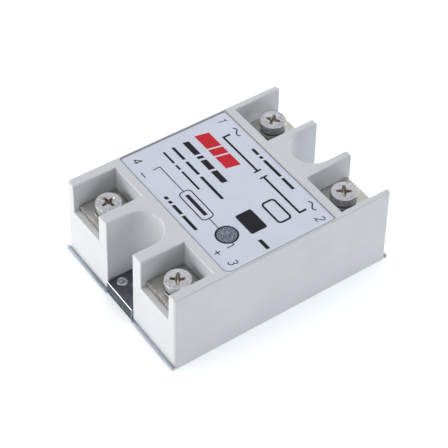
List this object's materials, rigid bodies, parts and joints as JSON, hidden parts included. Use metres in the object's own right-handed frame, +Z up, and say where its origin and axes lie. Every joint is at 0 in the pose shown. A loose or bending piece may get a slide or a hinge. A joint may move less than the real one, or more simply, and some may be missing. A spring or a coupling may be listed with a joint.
{
  "type": "solid state relay",
  "caption": "Panel-mount solid state relay block with a moulded housing, metal base plate, screw terminals in open wells and a mounting notch at each end.",
  "frame": {"origin": "on the underside of the base plate, below the middle of the relay", "axes": "+X along the relay towards the output terminals, +Y towards output terminal 1 and input terminal 4, +Z up from the mounting surface to the labelled top"},
  "size_m": [0.0612, 0.045, 0.0222],
  "materials": {
    "housing_plastic": "light neutral grey moulded plastic, smooth satin surface",
    "label_film": "satin pale blue grey film with black line print",
    "lens_clear": "frosted grey",
    "base_metal": "bright cast, lightly brushed",
    "terminal_metal": "nickel plated sheet",
    "washer_steel": "zinc plated",
    "screw_steel": "nickel plated, satin",
    "board_green": "glass epoxy with solder mask",
    "epoxy_black": "moulded semiconductor case",
    "opto_white": "moulded case",
    "tinned_copper": "tin plated",
    "film_tan": "insulating film",
    "led_red": "tinted clear",
    "resistor_tan": "lacquer with colour bands",
    "cement_white": "cement",
    "capacitor_yellow": "boxed film"
  },
  "bodies": {
    "root": {"housing": "housing_plastic", "base_plate": "base_metal", "label": "label_film", "indicator_lens": "lens_clear", "terminal_plate_1": "terminal_metal", "terminal_plate_2": "terminal_metal", "terminal_plate_3": "terminal_metal", "terminal_plate_4": "terminal_metal", "circuit_board": "board_green", "triac_tab": "tinned_copper", "triac_body": "epoxy_black", "triac_leads": "tinned_copper", "thermal_pad": "film_tan", "triac_screw": "screw_steel", "optocoupler": "opto_white", "optocoupler_pins": "tinned_copper", "indicator_led": "led_red", "indicator_led_leads": "tinned_copper", "input_resistor": "resistor_tan", "gate_resistor_1": "resistor_tan", "gate_resistor_2": "resistor_tan", "snubber_resistor": "cement_white", "snubber_capacitor": "capacitor_yellow", "input_transistor_1": "epoxy_black", "input_transistor_2": "epoxy_black", "protection_diode": "epoxy_black"},
    "clamp_1": {"flat_washer_1": "washer_steel", "lock_washer_1": "washer_steel"},
    "clamp_2": {"flat_washer_2": "washer_steel", "lock_washer_2": "washer_steel"},
    "clamp_3": {"flat_washer_3": "washer_steel", "lock_washer_3": "washer_steel"},
    "clamp_4": {"flat_washer_4": "washer_steel", "lock_washer_4": "washer_steel"},
    "screw_1": {"terminal_screw_1": "screw_steel"},
    "screw_2": {"terminal_screw_2": "screw_steel"},
    "screw_3": {"terminal_screw_3": "screw_steel"},
    "screw_4": {"terminal_screw_4": "screw_steel"}
  },
  "joints": [
    {"name": "clamp_1_lift", "type": "slide", "parent": "root", "child": "clamp_1", "axis": [0, 0, 1], "range_m": [-0.0021, 0.0003]},
    {"name": "clamp_2_lift", "type": "slide", "parent": "root", "child": "clamp_2", "axis": [0, 0, 1], "range_m": [-0.0009, 0.0015]},
    {"name": "clamp_3_lift", "type": "slide", "parent": "root", "child": "clamp_3", "axis": [0, 0, 1], "range_m": [0, 0.0024]},
    {"name": "clamp_4_lift", "type": "slide", "parent": "root", "child": "clamp_4", "axis": [0, 0, 1], "range_m": [0, 0.0024]},
    {"name": "screw_1_turn", "type": "hinge", "parent": "clamp_1", "child": "screw_1", "pos_m": [0.0226, 0.0138, 0.017], "axis": [0, 0, 1], "range_deg": [-1260, 180]},
    {"name": "screw_2_turn", "type": "hinge", "parent": "clamp_2", "child": "screw_2", "pos_m": [0.0226, -0.0138, 0.017], "axis": [0, 0, 1], "range_deg": [-540, 900]},
    {"name": "screw_3_turn", "type": "hinge", "parent": "clamp_3", "child": "screw_3", "pos_m": [-0.0235, -0.01415, 0.017], "axis": [0, 0, 1], "range_deg": [0, 1440]},
    {"name": "screw_4_turn", "type": "hinge", "parent": "clamp_4", "child": "screw_4", "pos_m": [-0.0235, 0.01415, 0.017], "axis": [0, 0, 1], "range_deg": [0, 1440]}
  ],
  "couplings": [
    {"joint": "screw_1_turn", "follows": "clamp_1_lift", "rad_per_m": 10472},
    {"joint": "screw_2_turn", "follows": "clamp_2_lift", "rad_per_m": 10472},
    {"joint": "screw_3_turn", "follows": "clamp_3_lift", "rad_per_m": 10472},
    {"joint": "screw_4_turn", "follows": "clamp_4_lift", "rad_per_m": 10472}
  ]
}
